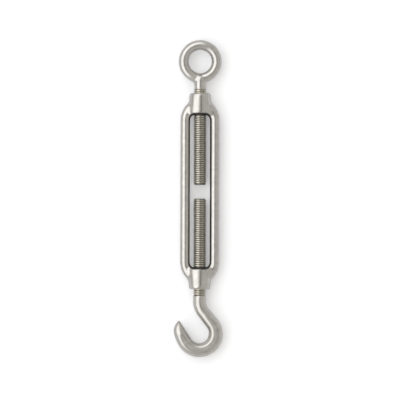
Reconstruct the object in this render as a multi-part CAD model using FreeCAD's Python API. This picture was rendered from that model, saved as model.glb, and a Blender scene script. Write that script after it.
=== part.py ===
import FreeCAD, Part
import math
import os

# Turnbuckle with an eye at one end and a hook at the other, in millimetres.
# It lies flat: the screw axis is Y, the eye points to +Y, the hook to -Y and opens to -X.
# The origin is on the screw axis, in the middle of the body's window.

# Body casting
body_length = 90.0
body_width = 18.0
bar_diameter = 4.45
boss_length = 10.1
boss_step = 4.15
boss_flare = 0.72
boss_flattening = 0.7
boss_rim_round = 0.9
shoulder_setback = 2.4
shoulder_bend_angle = 58.6
casting_round = 1.0
bore_chamfer = 0.35

# Screw rods: each is plain at the crests of its thread and runs in its boss
rod_diameter = 5.9
rod_clearance = 0.05
rod_tip_chamfer = 0.5
eye_rod_tip = 2.85
hook_rod_tip = -3.4
eye_thread_outside = 1.9
hook_thread_outside = 2.9

# Eye: a round bar bent to a ring, whose two ends meet at the neck and leave a pointed hole
eye_standoff = 14.5
eye_hole_diameter = 10.55
eye_bar_diameter = 4.6
eye_point_angle = 20.0
eye_neck_thickening = 0.8
eye_neck_bury = 0.2
eye_throat_round = 0.5

# Hook: a neck, a bend, a slant that thickens, a round bowl, and an arm that tapers to a blunt point
hook_neck_length = 2.7
hook_bend_radius = 7.55
hook_slant_angle = 38.8
hook_slant_length = 6.7
hook_bowl_radius = 7.6
hook_bowl_diameter = 6.6
hook_arm_lean = 33.1
hook_back_radius = 19.0
hook_back_angle = 19.0
hook_nose_radius = 5.8
hook_point_cut = 0.5
hook_section_spacing = 2.0

# Worked out from the sizes above
body_end = body_length / 2
window_end = body_end - boss_length
shoulder_start = window_end - shoulder_setback
bar_offset = (body_width - bar_diameter) / 2
boss_end_width = body_width - 2 * boss_step
boss_depth = boss_end_width - boss_flattening
bar_end_offset = (boss_end_width - bar_diameter) / 2
bore_radius = rod_diameter / 2 + rod_clearance
eye_centre = body_end + eye_standoff
eye_neck_diameter = eye_bar_diameter + eye_neck_thickening
eye_thread_end = body_end + eye_thread_outside
hook_thread_end = -body_end - hook_thread_outside

Y_AXIS = FreeCAD.Vector(0, 1, 0)
Z_AXIS = FreeCAD.Vector(0, 0, 1)
ORIGIN = FreeCAD.Vector(0, 0, 0)


def flat(x, y):
    """A point in the plane that the turnbuckle lies in."""
    return FreeCAD.Vector(x, y, 0)


def heading(degrees):
    """The unit vector that points this far round from +X, towards +Y."""
    return flat(math.cos(math.radians(degrees)), math.sin(math.radians(degrees)))


def turned(outline):
    """The solid that a closed outline, a list of points beside the screw axis, sweeps round it."""
    wire = Part.makePolygon(outline + [outline[0]])
    return Part.Face(wire).revolve(ORIGIN, Y_AXIS, 360)


def disc(centre, normal, diameter):
    """A round face, the section of a bar; its seam is on top of the bar, clear of the rounded corners."""
    face = Part.Face(Part.Wire(Part.makeCircle(diameter / 2, centre, normal)))
    face.rotate(centre, normal, 90)
    return face


def half_turned(shape, axis):
    """A copy of the shape turned by half a turn round an axis through the origin."""
    copy = shape.copy()
    copy.rotate(ORIGIN, axis, 180)
    return copy


def edges_between(shape, first_kinds, second_kinds):
    """The edges where a face of one kind of surface meets a face of another kind."""
    found = []
    for edge in shape.Edges:
        kinds = [type(face.Surface) for face in shape.ancestorsOfType(edge, Part.Face)]
        if len(kinds) != 2:
            continue
        for one, other in (kinds, reversed(kinds)):
            if one in first_kinds and other in second_kinds:
                found.append(edge)
                break
    return found


def boss_section(y, width):
    """The oval section of a boss at this height, as two halves that meet on its top and bottom."""
    oval = Part.Ellipse(ORIGIN, width / 2, boss_depth / 2)
    halves = [
        Part.ArcOfEllipse(oval, math.pi * turn, math.pi * (turn + 1)).toShape()
        for turn in (0.5, 1.5)
    ]
    wire = Part.Wire(halves)
    wire.rotate(ORIGIN, FreeCAD.Vector(1, 0, 0), -90)
    wire.translate(flat(0, y))
    return wire


def boss():
    """The boss at the eye end without its bore: a little flattened, and wider where the bars join it."""
    root = boss_section(window_end, boss_end_width + 2 * boss_flare)
    end = boss_section(body_end, boss_end_width)
    block = Part.makeLoft([root, end], True, True)
    rim = [edge for edge in block.Edges if edge.BoundBox.YMin > body_end - boss_rim_round]
    return block.makeFillet(boss_rim_round, rim)


def half_bar():
    """Half of one side bar: straight from the middle, then bent in until it ends inside the boss."""
    straight = disc(flat(bar_offset, 0), Y_AXIS, bar_diameter).extrude(flat(0, shoulder_start))
    bend_radius = (bar_offset - bar_end_offset) / (1 - math.cos(math.radians(shoulder_bend_angle)))
    bend_centre = flat(bar_offset - bend_radius, shoulder_start)
    bend = disc(flat(bar_offset, shoulder_start), Y_AXIS, bar_diameter)
    return straight.fuse(bend.revolve(bend_centre, Z_AXIS, shoulder_bend_angle))


def body_half():
    """The eye half of the casting, with every corner between bars and boss rounded."""
    bar = half_bar()
    half = boss().fuse([bar, half_turned(bar, Y_AXIS)]).removeSplitter()
    boss_kinds = (Part.BSplineSurface, Part.Plane)
    creases = edges_between(half, (Part.Toroid, Part.Cylinder), boss_kinds)
    creases += edges_between(half, (Part.BSplineSurface,), (Part.Plane,))
    lowest = window_end - boss_rim_round
    highest = body_end - 2 * boss_rim_round
    inner = [edge for edge in creases if lowest < edge.CenterOfMass.y < highest]
    return half.makeFillet(casting_round, inner)


def bore():
    """The hole through one boss, countersunk at both mouths."""
    mouth_radius = bore_radius + bore_chamfer
    return turned([
        flat(0, window_end - casting_round),
        flat(mouth_radius, window_end - casting_round),
        flat(mouth_radius, window_end),
        flat(bore_radius, window_end + bore_chamfer),
        flat(bore_radius, body_end - bore_chamfer),
        flat(mouth_radius, body_end),
        flat(mouth_radius, body_end + casting_round),
        flat(0, body_end + casting_round),
    ])


def body():
    """The casting: two bosses joined by two round bars round an open window."""
    half = body_half().cut(bore())
    return half.fuse(half_turned(half, Z_AXIS)).removeSplitter()


def rod(tip, end):
    """A screw rod on the axis from its chamfered tip to its other end."""
    out = 1 if end > tip else -1
    radius = rod_diameter / 2
    return turned([
        flat(0, tip),
        flat(radius - rod_tip_chamfer, tip),
        flat(radius, tip + out * rod_tip_chamfer),
        flat(radius, end),
        flat(0, end),
    ])


def eye_side():
    """Half of the ring, on the +X side, with its straight leg to the middle of the pointed bottom."""
    ring_radius = (eye_hole_diameter + eye_bar_diameter) / 2
    centre = flat(0, eye_centre)
    leg_angle = eye_point_angle - 90
    leg_travel = heading(leg_angle - 90)
    section_face = disc(centre + heading(leg_angle) * ring_radius, leg_travel, eye_bar_diameter)
    leg_length = ring_radius * math.tan(math.radians(eye_point_angle)) + eye_bar_diameter
    leg = section_face.extrude(leg_travel * leg_length)
    arc = section_face.revolve(centre, Z_AXIS, 90 - leg_angle)
    reach = 2 * (ring_radius + eye_bar_diameter)
    side = Part.makeBox(reach, reach, reach, FreeCAD.Vector(0, eye_centre - reach / 2, -reach / 2))
    return arc.fuse(leg).common(side)


def eye_bolt():
    """The upper bolt: a ring with a pointed hole, its neck and its screw rod, all one piece."""
    side = eye_side()
    ring = side.fuse(half_turned(side, Y_AXIS))
    ring_radius = (eye_hole_diameter + eye_bar_diameter) / 2
    meeting = eye_centre - ring_radius / math.cos(math.radians(eye_point_angle))
    neck_radius = eye_neck_diameter / 2
    rod_radius = rod_diameter / 2
    neck = turned([
        flat(0, eye_thread_end),
        flat(rod_radius, eye_thread_end),
        flat(neck_radius, eye_thread_end + rod_radius - neck_radius),
        flat(neck_radius, meeting - eye_bar_diameter / 2),
        flat(eye_bar_diameter / 2 - eye_neck_bury, meeting),
        flat(0, meeting),
    ])
    eye = ring.fuse(neck).removeSplitter()
    throat = [
        edge for edge in edges_between(eye, (Part.Cone,), (Part.Cylinder, Part.Toroid))
        if edge.CenterOfMass.y > meeting - eye_bar_diameter / 2 + eye_throat_round / 2
    ]
    eye = eye.makeFillet(eye_throat_round, throat)
    return eye.fuse(rod(eye_rod_tip, eye_thread_end)).removeSplitter()


def track_length(track):
    """The whole length of a track, a list of (length, bend radius) stretches."""
    return sum(length for length, radius in track)


def on_track(start, travel, track, distance):
    """The point and heading after this distance; a radius over 0 bends to the left, None is straight."""
    for length, radius in track:
        step = min(distance, length)
        if radius is None:
            start = start + heading(travel) * step
        else:
            centre = start + heading(travel + 90) * radius
            travel += math.degrees(step / radius)
            start = centre + heading(travel - 90) * radius
        distance -= step
    return start, travel


def bent_bar(start, travel, radius, angle, diameter):
    """A round bar bent from here with this heading; a negative radius and angle bend it to the right."""
    centre = start + heading(travel + 90) * radius
    return disc(start, heading(travel), diameter).revolve(centre, Z_AXIS, angle)


def section(left, right):
    """The round section of the hook's arm that reaches from one edge point to the other."""
    across = right - left
    circle = Part.makeCircle(across.Length / 2, ORIGIN, Y_AXIS)
    circle.rotate(ORIGIN, Z_AXIS, math.degrees(math.atan2(across.y, across.x)))
    circle.translate((left + right) / 2)
    return Part.Wire(circle)


def hook_arm(centre, travel):
    """The arm from the end of the bowl: its inner edge is straight, its outer edge curves over to meet it."""
    aside = heading(travel + 90) * (hook_bowl_diameter / 2)
    outer_start = centre + aside
    inner_start = centre - aside
    back = (hook_back_radius * math.radians(hook_back_angle), -hook_back_radius)
    nose_start, nose_travel = on_track(outer_start, travel, [back], back[0])
    nose_centre = nose_start + heading(nose_travel - 90) * hook_nose_radius
    from_inner = nose_centre - inner_start
    depth = from_inner.dot(heading(travel + 90))
    half_chord = math.sqrt(hook_nose_radius ** 2 - depth ** 2)
    inner_length = from_inner.dot(heading(travel)) + half_chord
    nose_turn = 90 - hook_back_angle + math.degrees(math.atan2(depth, half_chord))
    outer_track = [back, (hook_nose_radius * math.radians(nose_turn), -hook_nose_radius)]
    kept = 1 - hook_point_cut / inner_length
    count = math.ceil(inner_length / hook_section_spacing)
    sections = []
    for step in range(count + 1):
        share = kept * step / count
        inner = inner_start + heading(travel) * (inner_length * share)
        outer = on_track(outer_start, travel, outer_track, track_length(outer_track) * share)[0]
        sections.append(section(outer, inner))
    return Part.makeLoft(sections, True)


def hook_bolt():
    """The lower bolt: a rod bent to an open hook with a blunt point, all one piece with its thread."""
    bend = (hook_bend_radius * math.radians(hook_slant_angle), hook_bend_radius)
    slant = (hook_slant_length, None)
    bowl_angle = hook_slant_angle + 180 - hook_arm_lean
    bowl = (hook_bowl_radius * math.radians(bowl_angle), -hook_bowl_radius)
    track = [bend, slant, bowl]
    start = flat(0, hook_thread_end - hook_neck_length)
    places = [on_track(start, -90, track, track_length(track[:done])) for done in range(4)]
    slant_start, slant_travel = places[1]
    shaft = rod(hook_rod_tip, start.y)
    return shaft.fuse([
        bent_bar(start, -90, hook_bend_radius, hook_slant_angle, rod_diameter),
        Part.makeCone(
            rod_diameter / 2, hook_bowl_diameter / 2, hook_slant_length, slant_start, heading(slant_travel)
        ),
        bent_bar(*places[2], -hook_bowl_radius, -bowl_angle, hook_bowl_diameter),
        hook_arm(*places[3]),
    ]).removeSplitter()


os.makedirs("parts", exist_ok=True)
body().exportStep("parts/body.step")
eye_bolt().exportStep("parts/eye_bolt.step")
hook_bolt().exportStep("parts/hook_bolt.step")
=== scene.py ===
import math

import bpy
from bpy.props import FloatProperty, FloatVectorProperty, PointerProperty
from mathutils import Matrix, Vector


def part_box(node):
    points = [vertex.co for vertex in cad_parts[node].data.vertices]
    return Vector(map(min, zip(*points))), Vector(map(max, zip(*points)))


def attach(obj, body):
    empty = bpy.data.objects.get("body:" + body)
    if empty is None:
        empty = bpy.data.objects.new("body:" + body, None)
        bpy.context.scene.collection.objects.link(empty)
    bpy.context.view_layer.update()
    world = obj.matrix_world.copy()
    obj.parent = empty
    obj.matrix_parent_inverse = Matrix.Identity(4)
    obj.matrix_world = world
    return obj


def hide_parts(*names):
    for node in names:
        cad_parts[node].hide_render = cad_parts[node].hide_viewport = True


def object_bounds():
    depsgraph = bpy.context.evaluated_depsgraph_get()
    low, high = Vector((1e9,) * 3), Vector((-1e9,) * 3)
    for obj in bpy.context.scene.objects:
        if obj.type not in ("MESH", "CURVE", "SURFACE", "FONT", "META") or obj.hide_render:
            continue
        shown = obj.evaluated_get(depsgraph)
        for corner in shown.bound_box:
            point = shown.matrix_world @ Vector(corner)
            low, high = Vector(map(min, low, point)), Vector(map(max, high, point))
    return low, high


bl_info = {
    "name": "Turnbuckle",
    "version": (1, 0, 0),
    "blender": (4, 5, 0),
    "location": "3D View > Sidebar > Turnbuckle",
    "description": "Models a turnbuckle with an eye and a hook, and the stage that it lies on",
    "category": "Add Mesh",
}

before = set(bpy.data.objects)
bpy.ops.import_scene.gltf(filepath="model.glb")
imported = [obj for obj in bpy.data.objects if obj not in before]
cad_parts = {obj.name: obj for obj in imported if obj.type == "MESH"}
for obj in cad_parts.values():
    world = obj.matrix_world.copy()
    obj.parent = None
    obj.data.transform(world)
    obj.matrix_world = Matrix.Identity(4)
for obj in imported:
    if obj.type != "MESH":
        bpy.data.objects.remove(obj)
cad_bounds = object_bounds()
body_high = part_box("body")[1]

MM = 0.001
SAME_PLACE = 0.001 * MM  # closer vertices are merged
CREASE = math.radians(35)  # sharper edges stay sharp when a piece is shaded smooth
BORE_SIDES = 80  # sides of a bore, and of the blank that trims a thread
THREAD_STEPS = 40  # steps in one turn of a thread


# Sizes and finishes that a user may change


def length(name, description, default):
    """A length property in metres, with its default given in millimetres."""
    return FloatProperty(
        name=name,
        description=description,
        default=default * MM,
        subtype="DISTANCE",
        unit="LENGTH",
    )


def angle(name, description, default):
    """An angle property, with its default given in degrees."""
    return FloatProperty(
        name=name,
        description=description,
        default=math.radians(default),
        subtype="ANGLE",
        unit="ROTATION",
    )


def share(name, description, default, highest=1.0):
    """A plain number from nothing to its highest value."""
    return FloatProperty(name=name, description=description, default=default, min=0.0, max=highest)


def colour(name, description, default):
    """A colour property."""
    return FloatVectorProperty(
        name=name,
        description=description,
        default=default,
        subtype="COLOR",
        size=3,
        min=0.0,
        max=1.0,
    )


class BodySizes(bpy.types.PropertyGroup):
    """Sizes of the casting."""

    width: length("Width", "Width over both side bars", 18.0)
    bar: length("Bar", "Diameter of each side bar", 4.45)
    boss_length: length("Boss length", "Length of each boss", 10.1)
    boss_end: length("Boss end", "Width of a boss at its outer end", 9.7)
    boss_flattening: length("Boss flattening", "How much less deep than wide a boss is", 0.7)
    boss_flare: length("Boss flare", "How far a boss flares out on each side at the bars", 0.72)
    boss_rim: length("Boss rim", "Rounding of a boss's outer rim", 0.9)
    boss_root: length("Boss root", "Rounding of a boss's edge in the window", 1.3)
    shoulder: length("Shoulder", "How far before the boss a bar begins to bend in", 2.4)
    shoulder_turn: angle("Shoulder turn", "How far a bar turns in to meet the boss", 58.6)
    bore: length("Bore", "Diameter of the threaded hole through a boss", 6.0)
    countersink: length("Countersink", "Chamfer at each mouth of the bore", 0.35)
    blend: length("Blend", "Radius of the hollows between the bars and the bosses", 1.6)
    # the stain that follows the window's corners is painted shade
    arch: length("Arch", "Radius of the window's corners, where the stain follows them", 2.2)
    grain: length("Grain", "Edge of the small squares that the casting's skin is made of", 0.22)


class EyeSizes(bpy.types.PropertyGroup):
    """Sizes of the eye bolt."""

    centre: length("Centre", "Height of the ring's centre on the screw axis", 59.5)
    hole: length("Hole", "Diameter of the ring's hole", 10.55)
    bar: length("Bar", "Diameter of the ring's bar", 4.6)
    point: angle("Point", "Slope of the two legs that make the hole's point", 20.0)
    neck: length("Neck", "Diameter of the neck", 5.55)
    tip: length("Tip", "Height of the rod's tip in the window", 2.85)
    thread_end: length("Thread end", "Height at which the thread ends under the eye", 46.9)
    blend: length("Blend", "Radius of the hollows between the ring and its neck", 1.4)
    grain: length("Grain", "Edge of the small squares that the ring's skin is made of", 0.15)


class HookSizes(bpy.types.PropertyGroup):
    """Sizes of the hook bolt."""

    tip: length("Tip", "Height of the rod's tip in the window", -3.4)
    thread_end: length("Thread end", "Height at which the thread ends above the hook", -47.9)
    neck: length("Neck", "Length of the straight neck below the thread", 2.7)
    bend: length("Bend", "Radius of the bend that leads aside", 7.55)
    slant: angle("Slant", "How far the bend turns aside", 38.8)
    slant_length: length("Slant length", "Length of the slanting straight", 6.7)
    bowl: length("Bowl", "Radius of the bowl's middle line", 7.6)
    thick: length("Thickness", "Diameter of the bar in the bowl", 6.55)
    lean: angle("Lean", "How far the arm leans out", 33.1)
    back: length("Back", "Radius of the arm's outer edge", 19.0)
    back_turn: angle("Back turn", "How far the arm's outer edge turns along its back", 19.0)
    nose: length("Nose", "Radius of the outer edge near the point", 5.8)
    point: length("Point", "How much of the sharp point is rounded away", 0.75)
    flat: length("Flat", "Height of the faces that the dies pressed flat over the middle", 2.98)
    grain: length("Grain", "Edge of the small squares that the forging's skin is made of", 0.18)


class ThreadSizes(bpy.types.PropertyGroup):
    """Sizes of the screw thread."""

    crest: length("Crest", "Diameter over the thread's crests", 5.9)
    pitch: length("Pitch", "Distance from crest to crest", 1.0)
    depth: length("Depth", "Depth of the groove", 0.55)
    lead_in: length("Lead-in", "Chamfer at the rod's tip", 0.6)


class Finish(bpy.types.PropertyGroup):
    """Colours and polish of the steel."""

    polished: colour("Polished steel", "Colour of the tumbled casting and eye", (0.66, 0.64, 0.61))
    satin: colour("Satin steel", "Colour of the forged hook", (0.66, 0.64, 0.605))
    worn: colour("Thread steel", "Colour of the rolled thread", (0.70, 0.66, 0.58))
    polished_roughness: share("Polish", "Roughness of the polished steel", 0.2)
    satin_roughness: share("Satin", "Roughness of the satin steel", 0.25)
    worn_roughness: share("Thread polish", "Roughness of the rolled thread", 0.28)


class StageSizes(bpy.types.PropertyGroup):
    """The floor, the lamps and the camera."""

    floor: colour("Floor", "Colour of the table", (0.77, 0.78, 0.80))
    paper: colour("Paper", "Colour of the table as the camera sees it", (0.97, 0.98, 1.0))
    room: colour("Room", "Colour of the light from all round", (0.60, 0.585, 0.56))
    window: share("Window", "Brightness of the large soft window at the upper left", 1.6, 10.0)
    gap: share("Gap", "Brightness of the dark gap beside the window", 0.2, 10.0)
    frame_width: length("Frame width", "Width of what the camera sees", 183.5)
    camera_height: length("Camera height", "Height of the camera over the object", 2000.0)
    camera_roll: angle("Camera roll", "How far the camera is turned in its own picture", 0.18)


# Modelling helpers


def deselect():
    """Leaves edit mode and deselects every object."""
    if bpy.context.object and bpy.context.object.mode != "OBJECT":
        bpy.ops.object.mode_set(mode="OBJECT")
    bpy.ops.object.select_all(action="DESELECT")


def select_only(*pieces):
    """Selects these pieces and nothing else; the last one becomes the active one."""
    deselect()
    for piece in pieces:
        piece.select_set(True)
    bpy.context.view_layer.objects.active = pieces[-1]


def named(name):
    """Names the piece that was just added and settles its place into its mesh."""
    piece = bpy.context.object
    piece.name = name
    piece.data.name = name
    bpy.ops.object.transform_apply(location=True, rotation=True, scale=True)
    return piece


def select_where(piece, test):
    """Goes into edit mode with the vertices selected whose place passes the test."""
    select_only(piece)
    bpy.ops.object.mode_set(mode="EDIT")
    bpy.ops.mesh.select_mode(type="VERT")
    bpy.ops.mesh.select_all(action="DESELECT")
    bpy.ops.object.mode_set(mode="OBJECT")
    for vertex in piece.data.vertices:
        vertex.select = test(vertex.co)
    bpy.ops.object.mode_set(mode="EDIT")


def edit_all(piece):
    """Goes into edit mode with the whole mesh selected."""
    select_only(piece)
    bpy.ops.object.mode_set(mode="EDIT")
    bpy.ops.mesh.select_all(action="SELECT")


def finish_mesh(piece):
    """Merges doubles, turns the faces outwards and leaves edit mode."""
    edit_all(piece)
    bpy.ops.mesh.remove_doubles(threshold=SAME_PLACE)
    bpy.ops.mesh.normals_make_consistent(inside=False)
    bpy.ops.object.mode_set(mode="OBJECT")


def shade(piece):
    """Shades a piece smooth apart from its creases."""
    select_only(piece)
    bpy.ops.object.shade_smooth_by_angle(angle=CREASE)


def apply(piece, kind, **settings):
    """Adds a modifier with these settings and applies it."""
    select_only(piece)
    modifier = piece.modifiers.new(kind.title(), kind)
    for setting, value in settings.items():
        setattr(modifier, setting, value)
    bpy.ops.object.modifier_apply(modifier=modifier.name)


def combine(piece, other, operation, materials="INDEX"):
    """Joins another closed piece to this one, cuts it away or keeps what they share."""
    faces_before = len(piece.data.polygons)
    apply(
        piece,
        "BOOLEAN",
        operation=operation,
        object=other,
        solver="EXACT",
        material_mode=materials,
    )
    bpy.data.objects.remove(other)
    if len(piece.data.polygons) < faces_before / 2:
        raise RuntimeError("Too little is left of " + piece.name)


def join(*pieces):
    """Makes one object of several; it keeps the name of the last one."""
    select_only(*pieces)
    bpy.ops.object.join()
    return pieces[-1]


def turned_copy(piece, axis):
    """A copy with its own mesh, turned half round an axis through the origin."""
    copy = piece.copy()
    copy.data = piece.data.copy()
    bpy.context.collection.objects.link(copy)
    copy.data.transform(Matrix.Rotation(math.pi, 4, axis))
    return copy


def skin(piece, grain, blend, rounds):
    """Melts overlapping shapes into one skin.

    It is grown and shrunk back by the blend's radius, which fills its hollows round.
    """
    for step, softened in ((blend, rounds), (-blend, 2 * rounds)):
        apply(piece, "DISPLACE", strength=step, mid_level=0.0)
        apply(piece, "REMESH", mode="VOXEL", voxel_size=grain)
        apply(piece, "SMOOTH", factor=0.5, iterations=softened)


def cut_off(piece, place, beyond):
    """Cuts off what lies past a place in the direction called beyond, and closes the cut."""
    edit_all(piece)
    bpy.ops.mesh.bisect(plane_co=place, plane_no=beyond, use_fill=True, clear_outer=True)
    finish_mesh(piece)


# Bars that follow a path in the plane of the turnbuckle


def heading(turn):
    """The unit vector that points this far round from +X."""
    return Vector((math.cos(turn), math.sin(turn), 0))


def along(start, turn, track, distance):
    """The point and heading after this distance on a track of (length, bend radius) stretches."""
    place = start.copy()
    for stretch, radius in track:
        step = min(distance, stretch)
        if radius is None:
            place += heading(turn) * step
        else:
            middle = place + heading(turn + math.pi / 2) * radius
            turn += step / radius
            place = middle + heading(turn - math.pi / 2) * radius
        distance -= step
    return place, turn


def sweep(name, stations, sides=48):
    """A round bar drawn from one station to the next, each a centre, a heading and a radius."""
    deselect()
    centre, turn, radius = stations[0]
    bpy.ops.mesh.primitive_circle_add(
        vertices=sides,
        radius=radius,
        fill_type="NGON",
        location=centre,
        rotation=(math.pi / 2, 0, turn + math.pi / 2),
    )
    bar = named(name)
    edit_all(bar)
    for next_centre, next_turn, next_radius in stations[1:]:
        bpy.ops.mesh.extrude_region_move(
            TRANSFORM_OT_translate={"value": next_centre - centre, "orient_type": "GLOBAL"}
        )
        if abs(next_turn - turn) > 1e-6:
            bpy.ops.transform.rotate(
                value=turn - next_turn,
                orient_axis="Z",
                orient_type="GLOBAL",
                center_override=next_centre,
            )
        if abs(next_radius - radius) > 1e-9:
            growth = next_radius / radius
            bpy.ops.transform.resize(value=(growth,) * 3, center_override=next_centre)
        centre, turn, radius = next_centre, next_turn, next_radius
    finish_mesh(bar)
    return bar


def lathe(name, profile, sides=48):
    """A bar turned round the screw axis, from its heights and the radius at each."""
    stations = [(Vector((0, height, 0)), math.pi / 2, radius) for height, radius in profile]
    return sweep(name, stations, sides)


def stations_along(start, turn, track, spacing, radius_at):
    """Stations at about this spacing on a track; radius_at gives the radius at a distance."""
    stations = []
    done = 0
    for stretch, bend in track:
        count = max(1, math.ceil(stretch / spacing))
        for step in range(1 if stations else 0, count + 1):
            distance = done + stretch * step / count
            place, direction = along(start, turn, track, distance)
            stations.append((place, direction, radius_at(distance)))
        done += stretch
    return stations


# Shader maths


class Signal:
    """A shader socket that can be used in Python expressions; each expression adds its nodes."""

    def __init__(self, tree, socket):
        self.tree = tree
        self.socket = socket

    def maths(self, operation, *values):
        return node(self.tree, "ShaderNodeMath", {"operation": operation}, dict(enumerate(values)))

    def __add__(self, other):
        return self.maths("ADD", self, other)

    def __radd__(self, other):
        return self.maths("ADD", other, self)

    def __sub__(self, other):
        return self.maths("SUBTRACT", self, other)

    def __rsub__(self, other):
        return self.maths("SUBTRACT", other, self)

    def __mul__(self, other):
        return self.maths("MULTIPLY", self, other)

    def __rmul__(self, other):
        return self.maths("MULTIPLY", other, self)

    def stepped(self, low, high):
        """0 below low, 1 above high and a smooth rise between them."""
        settings = {"interpolation_type": "SMOOTHSTEP"}
        values = {"Value": self, "From Min": low, "From Max": high}
        return node(self.tree, "ShaderNodeMapRange", settings, values)


def node(tree, kind, settings=None, values=None, output=0):
    """Adds a node with its settings and its sockets' values or links, and returns an output."""
    added = tree.nodes.new(kind)
    for setting, value in (settings or {}).items():
        setattr(added, setting, value)
    for socket, value in (values or {}).items():
        if isinstance(value, Signal):
            tree.links.new(value.socket, added.inputs[socket])
        else:
            added.inputs[socket].default_value = value
    if added.outputs:
        return Signal(tree, added.outputs[output])
    return None


def mixed(tree, factor, first, second):
    """A colour between two others."""
    settings = {"data_type": "RGBA"}
    values = {0: factor, 6: first, 7: second}
    return node(tree, "ShaderNodeMix", settings, values, output=2)


def noise(tree, place, scale, detail=3.0, roughness=0.5):
    """Soft random values from 0 to 1 over the object's own coordinates."""
    values = {"Vector": place, "Scale": scale, "Detail": detail, "Roughness": roughness}
    return node(tree, "ShaderNodeTexNoise", values=values)


def opaque(tint):
    """A colour with its full alpha."""
    return (*tint, 1.0)


def new_material(name):
    """An empty node material, its tree and the object's own coordinates."""
    material = bpy.data.materials.new(name)
    material.use_nodes = True
    tree = material.node_tree
    tree.nodes.clear()
    return material, tree, node(tree, "ShaderNodeTexCoord", output="Object")


def vector_maths(tree, operation, *values, output="Vector"):
    """A Vector Math node, which gives a vector or, where asked, a value."""
    settings = {"operation": operation}
    return node(tree, "ShaderNodeVectorMath", settings, dict(enumerate(values)), output)


def distance_along(tree, place, direction):
    """How far a place lies from the origin in this direction."""
    return vector_maths(tree, "DOT_PRODUCT", place, direction, output="Value")


def steel(name, tint, roughness, waves, pits, stain_and_painted_shade=None):
    """Stainless steel with slow waves, fine pits, an uneven polish and, where asked, a darkening
    by stain and painted shade.

    waves and pits are heights in millimetres, and the last argument makes the mask of that
    darkening.
    """
    cloudy, dark = 0.86, 0.1  # shares of its colour that dull steel keeps, and that steel keeps under the stain and painted shade
    uneven = 0.12  # how much the roughness varies
    material, tree, place = new_material(name)
    broad = noise(tree, place, 160.0, 2.0)
    fine = noise(tree, place, 1500.0, 4.0, 0.6)
    cloud = noise(tree, place, 420.0, 4.0, 0.55)
    dull = opaque(value * cloudy for value in tint)
    tone = mixed(tree, cloud.stepped(0.3, 0.75), dull, opaque(tint))
    if stain_and_painted_shade:
        # painted shade, with grease in the thread's grooves, darkens the steel here
        tone = mixed(tree, stain_and_painted_shade(tree, place), tone, opaque(value * dark for value in tint))
    height = broad * waves + fine * pits
    bump = node(
        tree, "ShaderNodeBump", values={"Strength": 1.0, "Distance": MM, "Height": height}
    )
    surface = node(
        tree,
        "ShaderNodeBsdfPrincipled",
        values={
            "Base Color": tone,
            "Metallic": 1.0,
            "Roughness": roughness + (cloud - 0.5) * uneven,
            "Normal": bump,
        },
    )
    node(tree, "ShaderNodeOutputMaterial", values={"Surface": surface})
    return material


# Threaded rods


def thread(name, tip, end, sizes, hand):
    """A threaded rod from its tip to the end of its thread; hand is 1 for right and -1 for left.

    One turn's outline is drawn, screwed up the rod and trimmed to the shape of a blank.
    """
    spare_turns = 3
    crest = sizes.crest / 2
    root = crest - sizes.depth
    pitch = sizes.pitch
    low, high = min(tip, end), max(tip, end)
    turns = math.ceil((high - low) / pitch) + spare_turns
    outline = [(root, 0), (root, 0.08), (crest, 0.32), (crest, 0.68), (root, 0.92), (root, 1)]
    points = [Vector((radius, low + (share_up - 1) * pitch, 0)) for radius, share_up in outline]
    deselect()
    bpy.ops.mesh.primitive_plane_add(size=MM, location=points[0])
    screw = named(name)
    edit_all(screw)
    bpy.ops.mesh.merge(type="CENTER")
    for before, after in zip(points, points[1:]):
        bpy.ops.mesh.extrude_vertices_move(TRANSFORM_OT_translate={"value": after - before})
    bpy.ops.object.mode_set(mode="OBJECT")
    apply(
        screw,
        "SCREW",
        axis="Y",
        angle=hand * math.tau,
        screw_offset=pitch,
        iterations=turns,
        steps=THREAD_STEPS,
        render_steps=THREAD_STEPS,
        use_merge_vertices=True,
        merge_threshold=SAME_PLACE,
    )
    edit_all(screw)
    bpy.ops.mesh.remove_doubles(threshold=SAME_PLACE)
    bpy.ops.mesh.select_all(action="DESELECT")
    bpy.ops.mesh.select_non_manifold()
    bpy.ops.mesh.edge_face_add()
    bpy.ops.mesh.select_all(action="SELECT")
    bpy.ops.mesh.normals_make_consistent(inside=False)
    bpy.ops.object.mode_set(mode="OBJECT")
    up = 1 if end > tip else -1
    run_out = 0.1 * MM
    inside_neck = 0.4 * MM
    profile = [
        (tip, crest - sizes.lead_in),
        (tip + up * sizes.lead_in, crest),
        (end - up * run_out, crest),
        (end, root - run_out),
        (end + up * inside_neck, root - run_out),
    ]
    combine(screw, lathe(name + "_blank", profile, BORE_SIDES), "INTERSECT")
    return screw


def grease_and_painted_shade_in_grooves(sizes, end):
    """The mask of the grease and painted shade in the thread's grooves, weaker where the rod
    leaves the body.
    """
    grease_and_shade, lighter_outside = 0.45, 0.25

    def stain_and_painted_shade(tree, place):
        section = vector_maths(tree, "MULTIPLY", place, (1, 0, 1))
        radius = vector_maths(tree, "LENGTH", section, output="Value")
        crest = sizes.crest / 2
        # the grooves are darkened, partly as grease and partly as painted shade of the hollows
        deep_in_groove = 1 - radius.stepped(crest - 0.5 * sizes.depth, crest - 0.2 * sizes.depth)
        upward = distance_along(tree, place, (0, 1, 0))
        outside = upward.maths("ABSOLUTE", upward).stepped(end - 2.5 * MM, end - 1.5 * MM)
        return deep_in_groove * (grease_and_shade - outside * lighter_outside)

    return stain_and_painted_shade


# The turnbuckle's pieces


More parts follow.
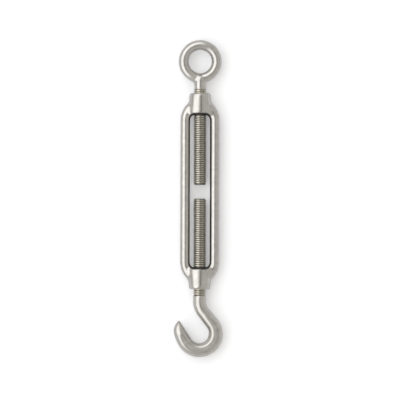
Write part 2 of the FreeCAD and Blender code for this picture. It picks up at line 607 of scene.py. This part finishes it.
def painted_window_shade(sizes):
    """The mask of the painted shade close to the window's rounded outline, where the casting is
    darkened as if shade lay there.
    """
    inner = sizes.width / 2 - sizes.bar
    overlap = 0.4 * MM
    ending = body_high[1] - sizes.boss_length + overlap
    corner = (inner - sizes.arch, ending - sizes.arch, 0)

    def stain_and_painted_shade(tree, place):
        beyond = vector_maths(tree, "ABSOLUTE", place)
        beyond = vector_maths(tree, "SUBTRACT", beyond, corner)
        beyond = vector_maths(tree, "MAXIMUM", beyond, (0, 0, 0))
        beyond = vector_maths(tree, "MULTIPLY", beyond, (1, 1, 0))
        reach = vector_maths(tree, "LENGTH", beyond, output="Value")
        # painted shade: darkest along the window's outline, gone a millimetre from it
        return 1 - (reach - sizes.arch).stepped(0.3 * MM, 1.0 * MM)

    return stain_and_painted_shade


class TURNBUCKLE_OT_body(bpy.types.Operator):
    """Model the casting: two bars that run into two bored bosses"""

    bl_idname = "turnbuckle.body"
    bl_label = "Body"

    def side_bar(self, sizes):
        """A side bar that bends in at both ends and stops inside the bosses."""
        aside = sizes.width / 2 - sizes.bar / 2
        inside = (sizes.boss_end - sizes.bar) / 2
        straight = body_high[1] - sizes.boss_length - sizes.shoulder
        bend = (aside - inside) / (1 - math.cos(sizes.shoulder_turn))
        shoulder = (bend * sizes.shoulder_turn, bend)
        start = Vector((inside, -straight - bend * math.sin(sizes.shoulder_turn), 0))
        stations = stations_along(
            start,
            math.pi / 2 - sizes.shoulder_turn,
            [shoulder, (2 * straight, None), shoulder],
            1.2 * MM,
            lambda distance: sizes.bar / 2,
        )
        return sweep("side_bar", stations)

    def boss(self, sizes):
        """The boss at the eye end: an oval block, flared towards the bars, its rims rounded."""
        window_end = body_high[1] - sizes.boss_length
        middle = window_end + sizes.boss_length / 2
        deselect()
        bpy.ops.mesh.primitive_cylinder_add(
            vertices=96,
            radius=sizes.boss_end / 2,
            depth=sizes.boss_length,
            location=(0, middle, 0),
            rotation=(math.pi / 2, 0, 0),
        )
        boss = named("boss")
        select_where(boss, lambda place: place.y < middle)
        flare = 1 + 2 * sizes.boss_flare / sizes.boss_end
        bpy.ops.transform.resize(value=(flare, 1, 1), center_override=(0, window_end, 0))
        bpy.ops.mesh.select_all(action="SELECT")
        flattened = 1 - sizes.boss_flattening / sizes.boss_end
        bpy.ops.transform.resize(value=(1, 1, flattened), center_override=(0, window_end, 0))
        for side, rounding in ((1, sizes.boss_rim), (-1, sizes.boss_root)):
            select_where(boss, lambda place: (place.y - middle) * side > sizes.boss_length / 3)
            bpy.ops.mesh.bevel(offset=rounding, segments=6, affect="EDGES")
        finish_mesh(boss)
        return boss

    def bore(self, sizes):
        """The cutter for one bore, with a countersink at both ends of the boss."""
        body_end = body_high[1]
        window_end = body_end - sizes.boss_length
        narrow = sizes.bore / 2
        wide = narrow + sizes.countersink
        profile = [
            (window_end - MM, wide),
            (window_end, wide),
            (window_end + sizes.countersink, narrow),
            (body_end - sizes.countersink, narrow),
            (body_end, wide),
            (body_end + MM, wide),
        ]
        return lathe("bore", profile, BORE_SIDES)

    def execute(self, context):
        sizes = context.scene.turnbuckle_body
        finish = context.scene.turnbuckle_finish
        bar = self.side_bar(sizes)
        boss = self.boss(sizes)
        body = join(bar, turned_copy(bar, "Z"), turned_copy(boss, "Z"), boss)
        body.name = "body_casting"
        skin(body, sizes.grain, sizes.blend, 8)
        bore = self.bore(sizes)
        other_bore = turned_copy(bore, "Z")
        combine(body, bore, "DIFFERENCE")
        combine(body, other_bore, "DIFFERENCE")
        shade(body)
        skin_steel = steel(
            "polished_casting",
            finish.polished,
            finish.polished_roughness,
            waves=0.05,
            pits=0.004,
            # painted shade darkens the casting along the window's edge
            stain_and_painted_shade=painted_window_shade(sizes),
        )
        body.data.materials.clear()
        body.data.materials.append(skin_steel)
        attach(body, "body")
        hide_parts("body")
        return {"FINISHED"}


class TURNBUCKLE_OT_eye_bolt(bpy.types.Operator):
    """Model the eye bolt: a ring with a pointed hole, its neck and its right-hand thread"""

    bl_idname = "turnbuckle.eye_bolt"
    bl_label = "Eye bolt"

    def ring(self, sizes):
        """The round bar of the ring, from leg to leg."""
        radius = (sizes.hole + sizes.bar) / 2
        leg = radius * math.tan(sizes.point) + sizes.bar / 4
        round_ring = radius * (math.tau - 2 * sizes.point)
        start_angle = -math.pi / 2 + sizes.point
        first = Vector((0, sizes.centre, 0)) + heading(start_angle) * radius
        start = first - heading(start_angle + math.pi / 2) * leg
        track = [(leg, None), (round_ring, radius), (leg, None)]
        stations = stations_along(
            start, start_angle + math.pi / 2, track, 0.6 * MM, lambda distance: sizes.bar / 2
        )
        return sweep("ring", stations)

    def neck(self, sizes):
        """The neck, which runs up under the ring and rounds off at the point of the hole."""
        point = sizes.centre - sizes.hole / 2 / math.cos(sizes.point)
        radius = sizes.neck / 2
        profile = [(sizes.thread_end - 2 * sizes.blend, radius)]
        for step in range(8):
            turn = math.radians(11) * step
            profile.append((point - radius + radius * math.sin(turn), radius * math.cos(turn)))
        return lathe("neck", profile)

    def execute(self, context):
        sizes = context.scene.turnbuckle_eye
        threads = context.scene.turnbuckle_thread
        finish = context.scene.turnbuckle_finish
        eye = join(self.ring(sizes), self.neck(sizes))
        eye.name = "eye_bolt_ring"
        skin(eye, sizes.grain, sizes.blend, 6)
        cut_off(eye, (0, sizes.thread_end, 0), (0, -1, 0))
        ring_steel = steel(
            "polished_ring", finish.polished, finish.polished_roughness, waves=0.02, pits=0.003
        )
        eye.data.materials.append(ring_steel)
        rod = thread("eye_thread", sizes.tip, sizes.thread_end, threads, hand=1)
        rod_steel = steel(
            "rolled_thread_right",
            finish.worn,
            finish.worn_roughness,
            waves=0.0,
            pits=0.006,
            # grease and painted shade darken the thread's grooves
            stain_and_painted_shade=grease_and_painted_shade_in_grooves(threads, sizes.thread_end),
        )
        rod.data.materials.append(rod_steel)
        combine(eye, rod, "UNION", "TRANSFER")
        shade(eye)
        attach(eye, "eye_bolt")
        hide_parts("eye_bolt")
        return {"FINISHED"}


class TURNBUCKLE_OT_hook_bolt(bpy.types.Operator):
    """Model the hook bolt: a forged open hook and its left-hand thread"""

    bl_idname = "turnbuckle.hook_bolt"
    bl_label = "Hook bolt"

    def arm(self, sizes, start, turn):
        """Stations of the arm, whose outer edge curves over to meet its straight inner edge."""
        aside = heading(turn + math.pi / 2) * (sizes.thick / 2)
        outer_start = start + aside
        inner_start = start - aside
        back = (sizes.back * sizes.back_turn, -sizes.back)
        nose_start, nose_turn = along(outer_start, turn, [back], back[0])
        nose_middle = nose_start + heading(nose_turn - math.pi / 2) * sizes.nose
        from_inner = nose_middle - inner_start
        depth = from_inner.dot(heading(turn + math.pi / 2))
        half_chord = math.sqrt(sizes.nose**2 - depth**2)
        inner_length = from_inner.dot(heading(turn)) + half_chord
        nose_round = math.pi / 2 - sizes.back_turn + math.atan2(depth, half_chord)
        outer_track = [back, (sizes.nose * nose_round, -sizes.nose)]
        outer_length = outer_track[0][0] + outer_track[1][0]
        kept = 1 - sizes.point / inner_length
        stations = []
        steps = 26
        for step in range(1, steps + 1):
            done = kept * step / steps
            inner = inner_start + heading(turn) * (inner_length * done)
            outer = along(outer_start, turn, outer_track, outer_length * done)[0]
            over = outer - inner
            direction = math.atan2(-over.x, over.y)
            stations.append(((outer + inner) / 2, direction, over.length / 2))
        return stations + self.blunt_end(*stations[-1])

    def dies(self, sizes):
        """The space between the two flat dies that press the hook, wider than the hook."""
        width = 80 * MM
        deselect()
        bpy.ops.mesh.primitive_cube_add(
            size=1, location=(0, sizes.thread_end, 0), scale=(width, width, 2 * sizes.flat)
        )
        return named("dies")

    def blunt_end(self, centre, direction, radius):
        """Stations that round off the point, a little flatter than a ball."""
        bluntness = 0.7
        stations = []
        for degrees in (20, 38, 54, 68, 78):
            turn = math.radians(degrees)
            ahead = heading(direction) * (bluntness * radius * math.sin(turn))
            stations.append((centre + ahead, direction, radius * math.cos(turn)))
        return stations

    def execute(self, context):
        sizes = context.scene.turnbuckle_hook
        threads = context.scene.turnbuckle_thread
        finish = context.scene.turnbuckle_finish
        thin = threads.crest / 2
        thick = sizes.thick / 2
        bend_length = sizes.bend * sizes.slant
        bowl_turn = sizes.slant + math.pi - sizes.lean
        track = [
            (sizes.neck, None),
            (bend_length, sizes.bend),
            (sizes.slant_length, None),
            (sizes.bowl * bowl_turn, -sizes.bowl),
        ]
        grow_from = sizes.neck + bend_length / 2
        grow_to = grow_from + bend_length / 2 + sizes.slant_length + sizes.bowl

        def radius_at(distance):
            """The bar grows smoothly from the neck's radius to the bowl's."""
            grown = min(max((distance - grow_from) / (grow_to - grow_from), 0), 1)
            return thin + (thick - thin) * grown * grown * (3 - 2 * grown)

        start = Vector((0, sizes.thread_end, 0))
        stations = stations_along(start, -math.pi / 2, track, 0.7 * MM, radius_at)
        arm = self.arm(sizes, *stations[-1][:2])
        hook = sweep("hook_bolt_forging", stations + arm)
        combine(hook, self.dies(sizes), "INTERSECT")
        apply(hook, "REMESH", mode="VOXEL", voxel_size=sizes.grain)
        apply(hook, "SMOOTH", factor=0.5, iterations=14)
        hook_steel = steel(
            "satin_forging", finish.satin, finish.satin_roughness, waves=0.045, pits=0.01
        )
        hook.data.materials.append(hook_steel)
        rod = thread("hook_thread", sizes.tip, sizes.thread_end, threads, hand=-1)
        rod_steel = steel(
            "rolled_thread_left",
            finish.worn,
            finish.worn_roughness,
            waves=0.0,
            pits=0.006,
            # grease and painted shade darken the thread's grooves
            stain_and_painted_shade=grease_and_painted_shade_in_grooves(threads, -sizes.thread_end),
        )
        rod.data.materials.append(rod_steel)
        combine(hook, rod, "UNION", "TRANSFER")
        shade(hook)
        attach(hook, "hook_bolt")
        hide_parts("hook_bolt")
        return {"FINISHED"}


class TURNBUCKLE_OT_stage(bpy.types.Operator):
    """Lay the table, hang the lamps and set up the camera"""

    bl_idname = "turnbuckle.stage"
    bl_label = "Stage"

    def table(self, sizes):
        """A pale table top that reaches beyond the picture on all sides."""
        deselect()
        bpy.ops.mesh.primitive_plane_add(size=6, location=(0, 0, cad_bounds[0][2]))
        table = named("table")
        material, tree, place = new_material("table_top")
        cloud = noise(tree, place, 30.0)

        def lit(tint):
            """The table's own surface in this colour."""
            uneven = mixed(tree, cloud, opaque(tint), opaque(value * 0.99 for value in tint))
            return node(tree, "ShaderNodeBsdfDiffuse", values={"Color": uneven})

        glow_strength, steel_share = 0.24, 0.2
        glow_values = {"Color": (1, 1, 1, 1), "Strength": glow_strength}
        glow = node(tree, "ShaderNodeEmission", values=glow_values)
        white = node(tree, "ShaderNodeAddShader", values={0: lit(sizes.paper), 1: glow})
        in_camera = node(tree, "ShaderNodeLightPath", output="Is Camera Ray")
        in_steel = node(tree, "ShaderNodeLightPath", output="Is Glossy Ray")
        seen = in_camera + in_steel * steel_share
        shaders = {0: seen, 1: lit(sizes.floor), 2: white}
        surface = node(tree, "ShaderNodeMixShader", values=shaders)
        node(tree, "ShaderNodeOutputMaterial", values={"Surface": surface})
        table.data.materials.append(material)

    def room(self, sizes):
        """A white tent lit from the upper left, with a dark gap over the table by the window."""
        world = bpy.data.worlds.new("room")
        world.use_nodes = True
        tree = world.node_tree
        tree.nodes.clear()
        sky = node(tree, "ShaderNodeTexCoord", output="Generated")
        to_window = Vector((-0.93, 0.37, 0)).normalized()
        past_window = Vector((0.37, 0.93, 0)).normalized()
        side = distance_along(tree, sky, to_window)
        beside = distance_along(tree, sky, past_window)
        height = distance_along(tree, sky, (0, 0, 1))
        window = side.stepped(0.02, 0.3) * height.stepped(0.25, 0.65)
        overhead = 1 - beside.maths("ABSOLUTE", beside).stepped(0.15, 0.5)
        gap = side.stepped(-0.3, -0.16) * (1 - side.stepped(-0.12, 0.0)) * overhead
        room = opaque(sizes.room)
        bright = opaque([sizes.window] * 3)
        dark = opaque([sizes.gap] * 3)
        tent = mixed(tree, window, mixed(tree, gap, room, dark), bright)
        seen = node(tree, "ShaderNodeLightPath", output="Is Camera Ray")
        glow = node(
            tree,
            "ShaderNodeBackground",
            values={"Color": mixed(tree, seen, tent, (1, 1, 1, 1)), "Strength": 1.0},
        )
        node(tree, "ShaderNodeOutputWorld", values={"Surface": glow})
        bpy.context.scene.world = world

    def camera(self, sizes):
        """A long lens that looks straight down on the turnbuckle."""
        lens = bpy.data.cameras.new("camera")
        lens.sensor_width = 36.0
        lens.lens = lens.sensor_width * sizes.camera_height / sizes.frame_width
        lens.clip_end = 100.0
        camera = bpy.data.objects.new("camera", lens)
        bpy.context.collection.objects.link(camera)
        picture_centre = (0.09 * MM, -4.04 * MM)
        camera.location = (*picture_centre, sizes.camera_height)
        camera.rotation_euler = (0, 0, sizes.camera_roll)
        bpy.context.scene.camera = camera

    def execute(self, context):
        sizes = context.scene.turnbuckle_stage
        context.scene.view_settings.view_transform = "Standard"
        self.table(sizes)
        self.room(sizes)
        self.camera(sizes)
        return {"FINISHED"}


class TURNBUCKLE_PT_panel(bpy.types.Panel):
    """The turnbuckle's pieces, sizes and stage"""

    bl_label = "Turnbuckle"
    bl_idname = "TURNBUCKLE_PT_panel"
    bl_space_type = "VIEW_3D"
    bl_region_type = "UI"
    bl_category = "Turnbuckle"

    def draw(self, context):
        for operator in OPERATORS:
            self.layout.operator(operator.bl_idname)
        for name, group in GROUPS.items():
            box = self.layout.box()
            for size in group.__annotations__:
                box.prop(getattr(context.scene, name), size)


GROUPS = {
    "turnbuckle_body": BodySizes,
    "turnbuckle_eye": EyeSizes,
    "turnbuckle_hook": HookSizes,
    "turnbuckle_thread": ThreadSizes,
    "turnbuckle_finish": Finish,
    "turnbuckle_stage": StageSizes,
}
OPERATORS = (
    TURNBUCKLE_OT_body,
    TURNBUCKLE_OT_eye_bolt,
    TURNBUCKLE_OT_hook_bolt,
    TURNBUCKLE_OT_stage,
)
CLASSES = (*GROUPS.values(), *OPERATORS, TURNBUCKLE_PT_panel)


def register():
    for added in CLASSES:
        bpy.utils.register_class(added)
    for name, group in GROUPS.items():
        setattr(bpy.types.Scene, name, PointerProperty(type=group))


def unregister():
    for name in GROUPS:
        delattr(bpy.types.Scene, name)
    for added in reversed(CLASSES):
        bpy.utils.unregister_class(added)


def main():
    """Builds the turnbuckle and its stage."""
    register()
    bpy.ops.turnbuckle.body()
    bpy.ops.turnbuckle.eye_bolt()
    bpy.ops.turnbuckle.hook_bolt()
    bpy.ops.turnbuckle.stage()


if __name__ == "__main__":
    main()
